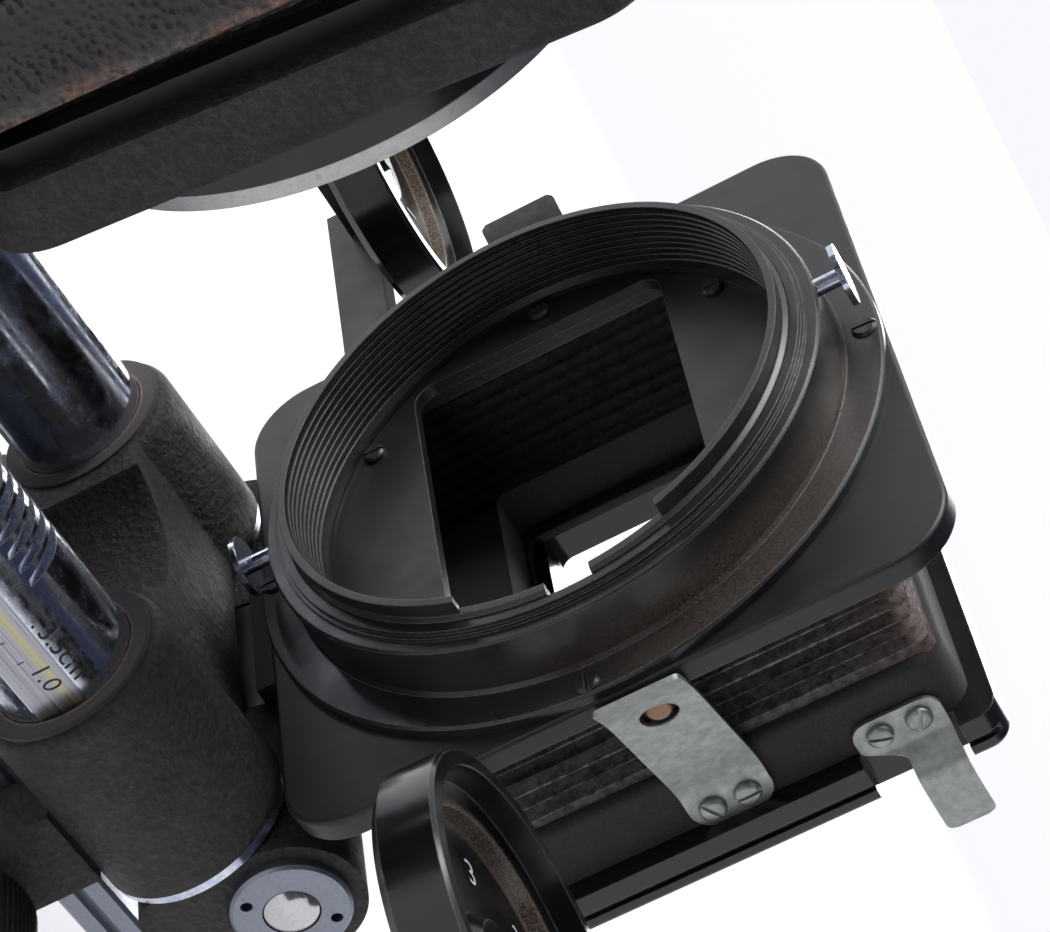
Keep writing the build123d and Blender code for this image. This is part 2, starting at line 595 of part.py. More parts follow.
def hood_rear_nodes():
    """Hood bellows with the rear frame and back plate that draw it out."""
    nodes = {}
    soft = panel(HOOD_BELLOWS, HOOD_BELLOWS, 3, PLATE_X1, BELLOWS_X1, 0, AXIS_Z)
    nodes["hood_bellows"] = soft - panel(58, 44, 2, 60, 140, 0, AXIS_Z)
    frame = panel(68, 67, 4, BELLOWS_X1, FRAME_X1, 0, AXIS_Z)
    frame = fillet(frame.edges().group_by(Axis.X)[0], 1.2)
    frame -= panel(65.2, 36, 2, BELLOWS_X1 - 1, FRAME_X1 - 1.5, 0, AXIS_Z)
    frame -= panel(61.4, 35, 2, BELLOWS_X1, FRAME_X1 + 1, 0, AXIS_Z)
    nodes["hood_rear_frame"] = frame
    back = panel(74, 72, 3, FRAME_X1, BACK_X1, 0, AXIS_Z)
    back = fillet(back.edges().group_by(Axis.X)[-1], 1.0)
    back -= panel(65.2, 30.8, 2, 100, 140, 0, AXIS_Z)
    for side in (-1, 1):
        edge = side * 37.0
        y0, y1 = sorted((edge - side * 0.9, edge + side * 1))
        back -= block(FRAME_X1 + 3.0, FRAME_X1 + 4.0, y0, y1, AXIS_Z - 50, AXIS_Z + 50)
        n0, n1 = sorted((side * 34.1, side * 38))
        back -= block(FRAME_X1 - 1, BACK_X1 + 1, n0, n1, AXIS_Z + 18.3, AXIS_Z + 30.7)
    nodes["hood_back_plate"] = back

    return nodes


def clip_screws(side, spots):
    """Slotted screw heads on a spring leaf, at (x, z) spots measured from the ring's centre."""
    turn = Rot(90, 0, 0) if side < 0 else Rot(-90, 0, 0)
    head = turn * slotted_screw(1.6, 0.7, 0.0)
    return [Pos(RING_X + dx, side * 34.8, AXIS_Z + dz) * head for dx, dz in spots]


def leaf(points, width, z, thickness=0.6):
    """Bent spring leaf: a centre line in X and Y, thickened and given a width along Z."""
    line = Polyline(*points)
    bends = line.vertices().sort_by(Axis.X)[1:-1]
    line = fillet(bends, 1.0)
    strip = trace(line, thickness)
    return Pos(0, 0, z - width / 2) * extrude(strip, amount=width)


def latch_clip(side):
    """Leaf from the rear frame that hooks over the stud behind the plate's edge."""
    x = RING_X
    y = side * 34.6
    line = [
        (x + 45.2, y),
        (x + 38.5, y),
        (x + 19.0, side * 41.9),
        (x + 15.2, side * 43.9),
        (x + 11.6, side * 46.2),
    ]
    body = leaf(line, 11.0, AXIS_Z + 2.2)
    y0, y1 = sorted((side * 38, side * 46))
    body -= rod_y(2.4, y0, y1, x + 19.6, AXIS_Z + 2.4)
    return body + clip_screws(side, [(42.8, -0.4), (42.8, 4.3)])


def filter_clip(side):
    """S-bent leaf that holds a filter against the back plate."""
    x = RING_X
    y = side * 34.6
    line = [
        (x + 41.5, y),
        (x + 46.3, y),
        (x + 49.5, side * 38.3),
        (x + 53.5, side * 38.3),
        (x + 59.5, side * 38.0),
    ]
    body = leaf(line, 6.0, AXIS_Z + 26.8)
    base = block(x + 41.0, x + 46.2, *sorted((side * 34.3, side * 34.9)), AXIS_Z + 19, AXIS_Z + 30)
    base = fillet(base.edges().filter_by(Axis.Y), 2.0)
    return body + base + clip_screws(side, [(43.5, 22.0), (43.5, 27.0)])


def clips_nodes():
    """Spring clips of the hood."""
    nodes = {}
    for side, name in ((-1, "near"), (1, "far")):
        nodes[f"latch_clip_{name}"] = latch_clip(side)
        nodes[f"filter_clip_{name}"] = filter_clip(side)
    return nodes


def main():
    nodes = {}
    nodes.update(bench_nodes())
    nodes.update(glass_back_nodes())
    nodes.update(bellows_nodes())
    nodes.update(lens_carriage_nodes())
    tip = LENS_PINION_R + 0.5
    gear = pinion(LENS_DRIVE_X, -RAIL_Y - 2.5, LENS_DRIVE_Z, 12, tip, 1.4, 0.6, 90, 4.0)
    nodes.update(drive_nodes("lens", gear, LENS_DRIVE_X, LENS_DRIVE_Z, 40.0, 8.5))
    nodes.update(tilt_bolt_nodes())
    nodes.update(lens_standard_nodes())
    nodes.update(aperture_nodes())
    nodes.update(hood_carriage_nodes())
    z = BAR_Z0 - PINION_R
    gear = pinion(HOOD_DRIVE_X, 0, z, 12, PINION_R + 0.45, 1.7, 0.9, HOOD_PINION_PHASE, 9.0)
    nodes.update(drive_nodes("hood", gear, HOOD_DRIVE_X, z, 35.5, 10.5))
    nodes.update(hood_nodes())
    nodes["spring_pin_upper"] = spring_pin(1)
    nodes["spring_pin_lower"] = spring_pin(-1)
    nodes["side_wheel_near"] = side_wheel(-1)
    nodes["side_wheel_far"] = side_wheel(1)
    nodes.update(hood_rear_nodes())
    nodes.update(clips_nodes())

    os.makedirs("parts", exist_ok=True)
    for name, shape in nodes.items():
        export_step(shape, f"parts/{name}.step")
    print(len(nodes), "nodes")


main()
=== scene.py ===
"""Studio scene of a bellows bench camera with its square bellows hood."""

import json
import math
import random

import bmesh
import bpy
from mathutils import Matrix, Vector


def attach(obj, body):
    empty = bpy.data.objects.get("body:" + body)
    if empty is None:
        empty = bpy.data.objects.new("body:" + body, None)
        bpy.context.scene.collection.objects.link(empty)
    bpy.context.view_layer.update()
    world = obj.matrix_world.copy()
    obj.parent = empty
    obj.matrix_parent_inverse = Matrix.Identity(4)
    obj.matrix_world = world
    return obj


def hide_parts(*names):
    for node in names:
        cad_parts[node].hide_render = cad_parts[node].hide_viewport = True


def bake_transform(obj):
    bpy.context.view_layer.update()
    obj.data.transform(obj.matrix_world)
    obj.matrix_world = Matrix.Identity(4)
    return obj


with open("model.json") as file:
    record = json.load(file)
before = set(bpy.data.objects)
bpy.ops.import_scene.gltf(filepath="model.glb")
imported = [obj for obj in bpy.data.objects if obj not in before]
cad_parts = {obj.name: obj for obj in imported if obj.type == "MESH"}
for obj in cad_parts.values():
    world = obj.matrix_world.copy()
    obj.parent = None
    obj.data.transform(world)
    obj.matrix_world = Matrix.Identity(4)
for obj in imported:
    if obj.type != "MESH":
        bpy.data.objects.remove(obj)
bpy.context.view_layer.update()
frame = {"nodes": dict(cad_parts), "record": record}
NODES = frame["nodes"]
random.seed(7)
MM = 0.001

# The object's own dimensions, in millimetres, as the solid model has them
AXIS_Z = 98.0
RAIL_Y, RAIL_Z, RAIL_R = 26.5, 41.0, 9.0
RING_X = 70.0
LEAN, PIVOT_Z = 5.4, 60.0
REAR_Z = 106.0
REAR_X1 = -87.0
FRONT_Z = 104.9
MIDDLE_X, MAIN_X1, BLEND_X1 = -25.5, -29.0, -11.5
PLATE_X1, BELLOWS_X1 = RING_X + 16.0, RING_X + 36.0
WHEEL_X, WHEEL_Y, WHEEL_Z0 = RING_X + 8.7, 82.0, AXIS_Z - 20.0
HOOD_PIVOT = (RING_X + 27.0, AXIS_Z - 50.0)
LENS_KNOB, HOOD_KNOB = (-14.3, 53.6), (77.0, 12.5)
CLIP_SCREW_Y = 34.9
FLAT_DEPTH, LIFT = 0.6, 0.02


# --- materials -----------------------------------------------------------------------------------


class Finish:
    """Node material built up step by step on one Principled shader, in object coordinates."""

    def __init__(self, name, color=(0.5, 0.5, 0.5), rough=0.5, metal=0.0, **sockets):
        self.mat = bpy.data.materials.new(name)
        self.mat.use_nodes = True
        self.nodes = self.mat.node_tree.nodes
        self.links = self.mat.node_tree.links
        self.bsdf = self.nodes["Principled BSDF"]
        self.set("Base Color", (*color, 1))
        self.set("Roughness", rough)
        self.set("Metallic", metal)
        for key, value in sockets.items():
            self.set(key.replace("_", " "), value)
        self.coord = self.nodes.new("ShaderNodeTexCoord").outputs["Object"]

    def set(self, socket, value):
        if isinstance(value, bpy.types.NodeSocket):
            self.links.new(value, self.bsdf.inputs[socket])
        else:
            self.bsdf.inputs[socket].default_value = value
        return self

    def node(self, kind, inputs=(), **settings):
        n = self.nodes.new(kind)
        for key, value in settings.items():
            setattr(n, key, value)
        for key, value in dict(inputs).items():
            if isinstance(value, bpy.types.NodeSocket):
                self.links.new(value, n.inputs[key])
            else:
                n.inputs[key].default_value = value
        return n

    def stretched(self, sx, sy, sz):
        """Object coordinates scaled per axis."""
        return self.node("ShaderNodeMapping", {"Vector": self.coord, "Scale": (sx, sy, sz)}).outputs[0]

    def noise(self, size_mm, detail=3.0, rough=0.6, coord=None, distort=0.0):
        """Noise from 0 to 1 whose features are about size_mm across."""
        inputs = {"Vector": coord or self.coord, "Scale": 1000.0 / size_mm, "Detail": detail}
        inputs.update({"Roughness": rough, "Distortion": distort})
        return self.node("ShaderNodeTexNoise", inputs).outputs["Fac"]

    def cells(self, size_mm):
        """Distance inside Voronoi cells about size_mm across."""
        inputs = {"Vector": self.coord, "Scale": 1000.0 / size_mm}
        return self.node("ShaderNodeTexVoronoi", inputs).outputs["Distance"]

    def axis(self, k):
        """Position along X, Y or Z in metres."""
        return self.node("ShaderNodeSeparateXYZ", {0: self.coord}).outputs[k]

    def ramp(self, value, low, high, out_low=0.0, out_high=1.0):
        inputs = {"Value": value, "From Min": low, "From Max": high, "To Min": out_low, "To Max": out_high}
        return self.node("ShaderNodeMapRange", inputs).outputs[0]

    def math(self, operation, a, b=0.5):
        return self.node("ShaderNodeMath", {0: a, 1: b}, operation=operation).outputs[0]

    def mix(self, factor, a, b):
        n = self.node("ShaderNodeMix", data_type="RGBA")
        for index, value in ((0, factor), (6, a), (7, b)):
            if isinstance(value, bpy.types.NodeSocket):
                self.links.new(value, n.inputs[index])
            elif index:
                n.inputs[index].default_value = (*value, 1)
            else:
                n.inputs[index].default_value = value
        return n.outputs[2]

    def rounded(self, radius_mm):
        """Normal softened over the object's edges."""
        n = self.node("ShaderNodeBevel", {"Radius": radius_mm * MM})
        n.samples = 3
        return n.outputs[0]

    def edges(self, radius_mm, low=0.02, high=0.2):
        """Mask that is 1 on edges, within a radius of them."""
        flat = self.node("ShaderNodeNewGeometry").outputs["Normal"]
        pair = {0: self.rounded(radius_mm), 1: flat}
        cosine = self.node("ShaderNodeVectorMath", pair, operation="DOT_PRODUCT").outputs["Value"]
        return self.ramp(self.math("SUBTRACT", 1.0, cosine), low, high)

    def painted(self, name, channel=0):
        """One channel of a colour that the mesh carries."""
        color = self.node("ShaderNodeAttribute", attribute_name=name).outputs["Color"]
        return self.node("ShaderNodeSeparateColor", {0: color}).outputs[channel]

    def band(self, value, start, full, end_full, end):
        """1 between full and end_full, falling to 0 at start and end; millimetres."""
        rise = self.ramp(value, start * MM, full * MM)
        return self.math("MULTIPLY", rise, self.ramp(value, end_full * MM, end * MM, 1.0, 0.0))

    def both(self, a, b):
        return self.math("MULTIPLY", a, b)

    def bump(self, height, depth_mm, strength=1.0, normal=None):
        inputs = {"Height": height, "Distance": depth_mm * MM, "Strength": strength}
        if normal is not None:
            inputs["Normal"] = normal
        return self.node("ShaderNodeBump", inputs).outputs[0]


def wrinkle_black():
    """Wrinkle enamel on castings, rubbed smooth in places."""
    f = Finish("black_wrinkle", (0.016, 0.014, 0.013), 0.5)
    height = f.math("ADD", f.both(f.cells(1.0), 0.7), f.noise(0.45, 5, 0.7, distort=0.6))
    dust = f.ramp(f.noise(1.1, 7, 0.85), 0.46, 0.68)
    shade = f.mix(f.ramp(f.noise(12, 3), 0.35, 0.7), (0.007, 0.006, 0.006), (0.020, 0.018, 0.017))
    shade = f.mix(f.both(dust, 0.6), shade, (0.085, 0.074, 0.067))
    rubbed = f.both(f.edges(1.0, 0.05, 0.4), f.ramp(f.noise(1.5, 6, 0.8), 0.45, 0.7))
    f.set("Base Color", f.mix(rubbed, shade, (0.13, 0.12, 0.11)))
    f.set("Roughness", f.ramp(f.noise(7, 3), 0.3, 0.7, 0.45, 0.65))
    f.set("Normal", f.bump(height, 0.32, 1.0, f.rounded(1.6)))
    return f.mat


def worn_black(name, base, rough, wear=0.6, edge=0.25, speck=0.5):
    """Black lacquer with bright worn edges, haze and fine specks of dust."""
    f = Finish(name, (base, base, base * 1.04), rough)
    specks = f.ramp(f.noise(0.35, 6, 0.85), 0.69, 0.77)
    shade = f.mix(f.ramp(f.noise(9, 4), 0.35, 0.75), (base, base, base * 1.08), (base * 1.8,) * 3)
    shade = f.mix(f.both(specks, speck), shade, (0.20, 0.17, 0.145))
    rub = f.both(f.edges(edge), f.ramp(f.noise(0.8, 7, 0.85), 0.40, 0.62, 0.15, 1.0))
    f.set("Base Color", f.mix(f.both(rub, wear), shade, (0.36, 0.35, 0.37)))
    f.set("Roughness", f.ramp(f.noise(6, 4), 0.3, 0.7, rough - 0.06, rough + 0.1))
    f.set("Normal", f.bump(f.noise(0.25, 4, 0.7), 0.010, 0.5, f.rounded(edge)))
    return f


def dusty(f, mask, color=(0.17, 0.125, 0.095)):
    """Fine dust over the finish where the mask is 1."""
    socket = f.bsdf.inputs["Base Color"]
    under = socket.links[0].from_socket
    grains = f.ramp(f.noise(0.28, 6, 0.9), 0.42, 0.62)
    f.set("Base Color", f.mix(f.both(mask, grains), under, color))
    return f


def collar_black():
    """Lacquer of the hood's collar and flange, with dust above the flange and in its corner."""
    f = worn_black("collar_black", 0.011, 0.3, 0.75)
    low_half = f.ramp(f.axis(1), -38 * MM, 12 * MM, 1.0, 0.0)
    high_end = f.ramp(f.axis(2), (AXIS_Z - 25) * MM, (AXIS_Z + 15) * MM)
    foot = f.band(f.axis(0), RING_X + 5.5, RING_X + 9.5, RING_X + 11.4, RING_X + 11.8)
    return dusty(f, f.both(f.both(foot, low_half), f.both(high_end, 0.9))).mat


def wheel_black():
    """Polished black wheel with a ring of dust on its stepped floor."""
    f = worn_black("wheel_black", 0.004, 0.16, 0.7, 0.3, 0.8)
    masks = []
    for side in (-1, 1):
        flat = f.node("ShaderNodeVectorMath", {0: f.coord, 1: (1, 1, 0)}, operation="MULTIPLY").outputs[0]
        hub = (WHEEL_X * MM, side * WHEEL_Y * MM, 0)
        gap = f.node("ShaderNodeVectorMath", {0: flat, 1: hub}, operation="DISTANCE").outputs["Value"]
        masks.append(f.band(gap, 17.6, 18.4, 19.2, 20.0))
    return dusty(f, f.math("ADD", *masks), (0.26, 0.2, 0.155)).mat


def chrome():
    """Old bright plating with a bluish haze and fine scratches along the rails."""
    f = Finish("chrome", (0.72, 0.74, 0.78), 0.06, 1.0)
    haze = f.ramp(f.noise(2.4, 9, 0.8), 0.40, 0.66)
    lines = f.ramp(f.noise(0.3, 5, 0.75, f.stretched(0.02, 1, 1)), 0.6, 0.8)
    f.set("Base Color", f.mix(haze, (0.74, 0.76, 0.80), (0.40, 0.46, 0.66)))
    f.set("Roughness", f.ramp(f.math("ADD", haze, f.both(lines, 0.5)), 0.0, 1.0, 0.07, 0.36))
    f.set("Normal", f.bump(f.noise(0.5, 6, 0.8), 0.003, 0.5, f.rounded(0.15)))
    return f.mat


def turned_metal(name, color, rough, metal=1.0, edge=0.15):
    """Bare metal with fine specks of tarnish."""
    f = Finish(name, color, rough, metal)
    dark = tuple(c * 0.5 for c in color)
    f.set("Base Color", f.mix(f.ramp(f.noise(0.6, 8, 0.85), 0.52, 0.78), color, dark))
    f.set("Roughness", f.ramp(f.noise(1.2, 6, 0.8), 0.3, 0.7, rough - 0.08, rough + 0.12))
    f.set("Normal", f.bump(f.noise(0.2, 4, 0.7), 0.008, 0.5, f.rounded(edge)))
    return f.mat


def scale_strip():
    """Brushed flat of the numbered rail, with a yellowed streak along it."""
    f = Finish("scale_strip", (0.6, 0.6, 0.62), 0.32, 1.0)
    brush = f.noise(0.35, 4, 0.7, f.stretched(0.015, 1, 1))
    streak = f.band(f.axis(2), RAIL_Z + 0.6, RAIL_Z + 1.3, RAIL_Z + 1.6, RAIL_Z + 2.3)
    shade = f.mix(f.ramp(brush, 0.3, 0.7), (0.24, 0.24, 0.28), (0.52, 0.52, 0.56))
    f.set("Base Color", f.mix(f.both(streak, 0.5), shade, (0.62, 0.58, 0.16)))
    f.set("Roughness", f.ramp(brush, 0.3, 0.7, 0.22, 0.42))
    f.set("Normal", f.bump(brush, 0.01, 0.8))
    return f.mat


def zinc():
    """Dull zinc plating on spring steel, bright at its cut edges."""
    f = Finish("zinc", (0.38, 0.39, 0.37), 0.42, 0.85)
    blotch = f.ramp(f.noise(1.6, 7, 0.75), 0.35, 0.7)
    shade = f.mix(blotch, (0.26, 0.28, 0.265), (0.40, 0.41, 0.40))
    pits = f.ramp(f.noise(0.4, 5, 0.85), 0.62, 0.74)
    shade = f.mix(f.both(pits, 0.7), shade, (0.13, 0.12, 0.11))
    f.set("Base Color", f.mix(f.edges(0.16, 0.05, 0.3), shade, (0.72, 0.72, 0.72)))
    f.set("Roughness", f.ramp(blotch, 0, 1, 0.5, 0.36))
    f.set("Normal", f.bump(f.noise(0.35, 6, 0.8), 0.015, 0.6, f.rounded(0.12)))
    return f.mat


def felt():
    """Brown felt, tan where it rubs the rail."""
    f = Finish("felt", (0.03, 0.02, 0.015), 0.95, Sheen_Weight=0.3)
    rims = []
    for side in (-1, 1):
        flat = f.node("ShaderNodeVectorMath", {0: f.coord, 1: (0, 1, 1)}, operation="MULTIPLY").outputs[0]
        rail = (0, side * RAIL_Y * MM, RAIL_Z * MM)
        gap = f.node("ShaderNodeVectorMath", {0: flat, 1: rail}, operation="DISTANCE").outputs["Value"]
        rims.append(f.ramp(gap, 9.2 * MM, 9.55 * MM, 1.0, 0.0))
    shade = f.mix(f.ramp(f.noise(0.8, 7, 0.9), 0.4, 0.65), (0.006, 0.004, 0.004), (0.045, 0.030, 0.022))
    rub = f.both(f.math("ADD", *rims), f.ramp(f.noise(0.9, 6, 0.85), 0.40, 0.62, 0.15, 1.0))
    f.set("Base Color", f.mix(rub, shade, (0.36, 0.23, 0.13)))
    f.set("Normal", f.bump(f.noise(0.3, 6, 0.85), 0.25, 1.0, f.rounded(0.8)))
    return f.mat


def flock():
    """Short black pile with brown lint."""
    f = Finish("flock", (0.02, 0.018, 0.017), 0.85, Sheen_Weight=0.15)
    lint = f.ramp(f.noise(0.3, 7, 0.85), 0.5, 0.72)
    shade = f.mix(f.noise(6, 4), (0.008, 0.007, 0.007), (0.020, 0.017, 0.016))
    f.set("Base Color", f.mix(f.both(lint, 0.7), shade, (0.085, 0.068, 0.058)))
    f.set("Normal", f.bump(f.noise(0.22, 6, 0.85), 0.08, 0.9, f.rounded(0.8)))
    return f.mat


def bellows_cloth():
    """Coated cloth of the hood bellows: pale worn folds, brown frayed corners."""
    f = Finish("bellows_cloth", (0.012, 0.010, 0.010), 0.6)
    fray = f.ramp(f.noise(0.7, 8, 0.9), 0.42, 0.6)
    fold = f.both(f.painted("wear", 0), f.ramp(f.noise(1.4, 5, 0.8), 0.40, 0.58))
    shade = f.mix(f.noise(5, 4), (0.014, 0.012, 0.012), (0.036, 0.031, 0.030))
    shade = f.mix(fold, shade, (0.30, 0.28, 0.28))
    f.set("Base Color", f.mix(f.both(f.painted("wear", 1), fray), shade, (0.17, 0.075, 0.035)))
    f.set("Normal", f.bump(f.noise(0.3, 7, 0.85), 0.08, 0.9))
    return f.mat


def leather():
    """Grained black leather, with a painted highlight and rubbed brown wear on its ridges."""
    f = Finish("leather", (0.02, 0.016, 0.015), 0.36)
    ridge = f.painted("wear", 0)
    # The ridge mask is partly rubbed wear and partly a painted highlight along the fold ridges.
    rub = f.both(ridge, f.ramp(f.noise(1.1, 6, 0.8), 0.42, 0.62))
    brown = f.both(rub, f.ramp(f.noise(9, 2), 0.52, 0.6))
    shade = f.mix(f.noise(12, 4), (0.008, 0.006, 0.006), (0.030, 0.023, 0.022))
    # Painted highlight: the ridges are mixed towards pale grey for the light they catch, along with their
    # wear.
    shade = f.mix(f.both(rub, 0.75), shade, (0.20, 0.17, 0.16))
    f.set("Base Color", f.mix(brown, shade, (0.30, 0.12, 0.045)))
    f.set("Roughness", f.ramp(f.noise(3, 4), 0.3, 0.7, 0.30, 0.48))
    folds = f.bump(f.noise(10, 3, 0.6, f.stretched(0.6, 0.6, 1.4)), 1.2, 0.5)
    f.set("Normal", f.bump(f.cells(0.95), 0.22, 0.9, folds))
    return f.mat


def glass(name, color=(0.95, 0.97, 1.0), rough=0.02):
    f = Finish(name, color, rough, 0.0, Transmission_Weight=1.0, IOR=1.5)
    f.set("Roughness", f.ramp(f.noise(12, 5), 0.4, 0.8, rough, rough + 0.05))
    return f.mat


def ink(name, color, rough=0.5):
    """Filled engraving or paint with small gaps."""
    f = Finish(name, color, rough)
    gaps = f.ramp(f.noise(0.25, 4, 0.8), 0.62, 0.75)
    f.set("Base Color", f.mix(f.both(gaps, 0.6), color, tuple(c * 0.5 + 0.06 for c in color)))
    return f.mat


MATS = {
    "black_wrinkle": wrinkle_black(),
    "black_satin": worn_black("black_satin", 0.008, 0.38).mat,
    "black_gloss": worn_black("black_gloss", 0.008, 0.2).mat,
    "chrome": chrome(),
    "grey_satin": turned_metal("grey_satin", (0.26, 0.28, 0.33), 0.38, 0.9),
    "bright_aluminium": turned_metal("bright_aluminium", (0.50, 0.49, 0.48), 0.42),
    "zinc": zinc(),
    "steel": turned_metal("steel", (0.48, 0.47, 0.46), 0.32),
    "brass": turned_metal("brass", (0.55, 0.40, 0.18), 0.35),
    "black_steel": worn_black("black_steel", 0.014, 0.35, 0.8, 0.12).mat,
    "wire": turned_metal("wire", (0.26, 0.17, 0.11), 0.35, 0.8),
    "felt": felt(),
    "leather": leather(),
    "flock": flock(),
    "glass": glass("glass"),
    "frosted": glass("frosted", (0.9, 0.92, 0.92), 0.5),
    "knob": worn_black("knob", 0.012, 0.34, 0.5).mat,
    "collar": collar_black(),
    "wheel": wheel_black(),
    "strip": scale_strip(),
    "cloth": bellows_cloth(),
    "dark_ink": ink("dark_ink", (0.012, 0.012, 0.014)),
    "white_ink": ink("white_ink", (0.62, 0.62, 0.66)),
    "glassy": turned_metal("glassy", (0.60, 0.60, 0.60), 0.14, 0.9),
}

for sub in frame["record"]["subparts"]:
    node = NODES[sub["node"]]
    node.data.materials.clear()
    node.data.materials.append(MATS[sub["material_slot"]])
    for poly in node.data.polygons:
        poly.material_index = 0
for name in ("hood_flange", "thread_ring"):
    NODES[name].data.materials[0] = MATS["collar"]
for name in ("side_wheel_near", "side_wheel_far"):
    NODES[name].data.materials[0] = MATS["wheel"]
NODES["pivot_discs"].data.materials[0] = MATS["grey_satin"]


# --- mesh tools ----------------------------------------------------------------------------------


def build(name, verts, faces, mat, body, replaces=(), wear=None, sharp=math.pi):
    """Piece from vertices in millimetres, riding on a body and standing for CAD nodes."""
    mesh = bpy.data.meshes.new(name)
    mesh.from_pydata([Vector(v) * MM for v in verts], [], faces)
    mesh.validate()
    mesh.materials.append(MATS[mat])
    bm = bmesh.new()
    bm.from_mesh(mesh)
    bmesh.ops.recalc_face_normals(bm, faces=bm.faces)
    bm.to_mesh(mesh)
    bm.free()
    mesh.shade_smooth()
    if sharp < math.pi:
        mesh.set_sharp_from_angle(angle=sharp)
    if wear is not None:
        # The wear layer holds fold wear in its first channel; on leather it also drives a painted highlight.
        layer = mesh.color_attributes.new("wear", "FLOAT_COLOR", "POINT")
        for i, (a, b) in enumerate(wear):
            layer.data[i].color = (a, b, 0, 1)
    obj = bpy.data.objects.new(name, mesh)
    bpy.context.scene.collection.objects.link(obj)
    if body:
        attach(obj, body)
    if replaces:
        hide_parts(*replaces)
    return obj


def grid_faces(rows, columns, closed=False):
    """Quads between neighbouring points of a grid stored row by row; closed joins the last column."""
    faces = []
    for a in range(rows - 1):
        for c in range(columns if closed else columns - 1):
            b, d = a + 1, (c + 1) % columns
            faces.append((a * columns + c, a * columns + d, b * columns + d, b * columns + c))
    return faces


def square_ring(half_y, half_z, chamfer, per_side=28):
    """Points round a rectangle with cut corners, and how near each is to a corner, 0 to 1."""
    y, z, c = half_y, half_z, chamfer
    corners = [(y, -z + c), (y, z - c), (y - c, z), (-y + c, z), (-y, z - c), (-y, -z + c)]
    corners += [(-y + c, -z), (y - c, -z)]
    points, near = [], []
    for k in range(8):
        (y0, z0), (y1, z1) = corners[k], corners[(k + 1) % 8]
        steps = per_side if k % 2 == 0 else 3
        for i in range(steps):
            t = i / steps
            points.append((y0 + (y1 - y0) * t, z0 + (z1 - z0) * t))
            near.append(max(0.0, 1 - min(t, 1 - t) * steps / 4.5) if k % 2 == 0 else 1.0)
    return points, near


def square_bellows(name, rings, mat, body, replaces, centre_z, lean=0.0, rough=0.12):
    """Pleated square sleeve; rings are (x, half y, half z, corner cut, wear of the fold); on leather that
    wear also drives a painted ridge highlight.
    """
    verts, wear = [], []
    lean_x0, lean_x1 = rings[0][0], rings[-1][0]
    for x, half_y, half_z, cut, worn in rings:
        points, near = square_ring(half_y, half_z, cut)
        share = (x - lean_x0) / (lean_x1 - lean_x0)
        sway = random.uniform(-rough, rough)
        for (y, z), corner in zip(points, near):
            wave = sway * math.sin(y * 0.11 + z * 0.07 + x)
            tilt = math.tan(math.radians(lean)) * (z + centre_z - PIVOT_Z) * share
            verts.append((x + wave + tilt, y + wave * 0.6, z + centre_z + wave * 0.6))
            wear.append((worn, corner * (0.35 + 0.65 * worn)))
    columns = len(verts) // len(rings)
    faces = grid_faces(len(rings), columns, closed=True)
    return build(name, verts, faces, mat, body, replaces, wear)


def turned(name, profile, place, mat, body, replaces=(), steps=96, ridge=0.0):
    """Solid of revolution from (radius, height) points, along +Z of `place`; ridge knurls it."""
    verts = []
    for r, h in profile:
        for k in range(steps):
            a = 2 * math.pi * k / steps
            grip = ridge if k % 2 and r > profile[-1][0] + 0.5 else 0.0
            verts.append(place @ Vector(((r - grip) * math.cos(a), (r - grip) * math.sin(a), h)))
    faces = grid_faces(len(profile), steps, closed=True)
    faces.append(tuple(range(steps)))
    faces.append(tuple((len(profile) - 1) * steps + k for k in range(steps)))
    return build(name, verts, faces, mat, body, replaces, sharp=math.radians(32))


def place_at(x, y, z, toward):
    """Transform that puts +Z along a direction, at a point in millimetres."""
    return Matrix.Translation((x, y, z)) @ Vector(toward).to_track_quat("Z", "Y").to_matrix().to_4x4()


def cut(obj, tool):
    """Takes a tool's shape out of a piece and throws the tool away."""
    mod = obj.modifiers.new("cut", "BOOLEAN")
    mod.object, mod.operation, mod.solver = tool, "DIFFERENCE", "EXACT"
    graph = bpy.context.evaluated_depsgraph_get()
    mesh = bpy.data.meshes.new_from_object(obj.evaluated_get(graph))
    obj.modifiers.clear()
    obj.data = mesh
    bpy.data.objects.remove(tool)


def slot_tool(place, length, width, depth):
    """Loose box for cutting a screw slot, centred on the place's origin."""
    mesh = bpy.data.meshes.new("slot_tool")
    bm = bmesh.new()
    bmesh.ops.create_cube(bm, size=1.0)
    scale = Matrix.Diagonal((length, width, depth, 1))
    bm.transform(Matrix.Scale(MM, 4) @ place @ scale)
    bm.to_mesh(mesh)
    bm.free()
    obj = bpy.data.objects.new("slot_tool", mesh)
    bpy.context.scene.collection.objects.link(obj)
    return obj


def slotted_head(name, place, r, h, angle, mat, body):
    """Domed slotted screw head."""
    profile = [(r, -0.1), (r, h * 0.45), (r * 0.93, h * 0.7), (r * 0.7, h * 0.93), (r * 0.05, h)]
    head = turned(name, profile, place, mat, body, steps=40)
    turn = place @ Matrix.Rotation(angle, 4, "Z") @ Matrix.Translation((0, 0, h))
    cut(head, slot_tool(turn, 3 * r, r * 0.3, h * 0.9))
    head.data.set_sharp_from_angle(angle=math.radians(35))
    return head


def smooth_path(points, steps=14):
    """Catmull-Rom curve through points."""
    out = []
    ends = [2 * points[0] - points[1]] + points + [2 * points[-1] - points[-2]]
    for i in range(1, len(ends) - 2):
        p0, p1, p2, p3 = ends[i - 1 : i + 3]
        for k in range(steps):
            t = k / steps
            a, b = 2 * p1, (p2 - p0) * t
            c, d = (2 * p0 - 5 * p1 + 4 * p2 - p3) * t * t, (3 * p1 - p0 - 3 * p2 + p3) * t**3
            out.append((a + b + c + d) / 2)
    return out + [points[-1]]


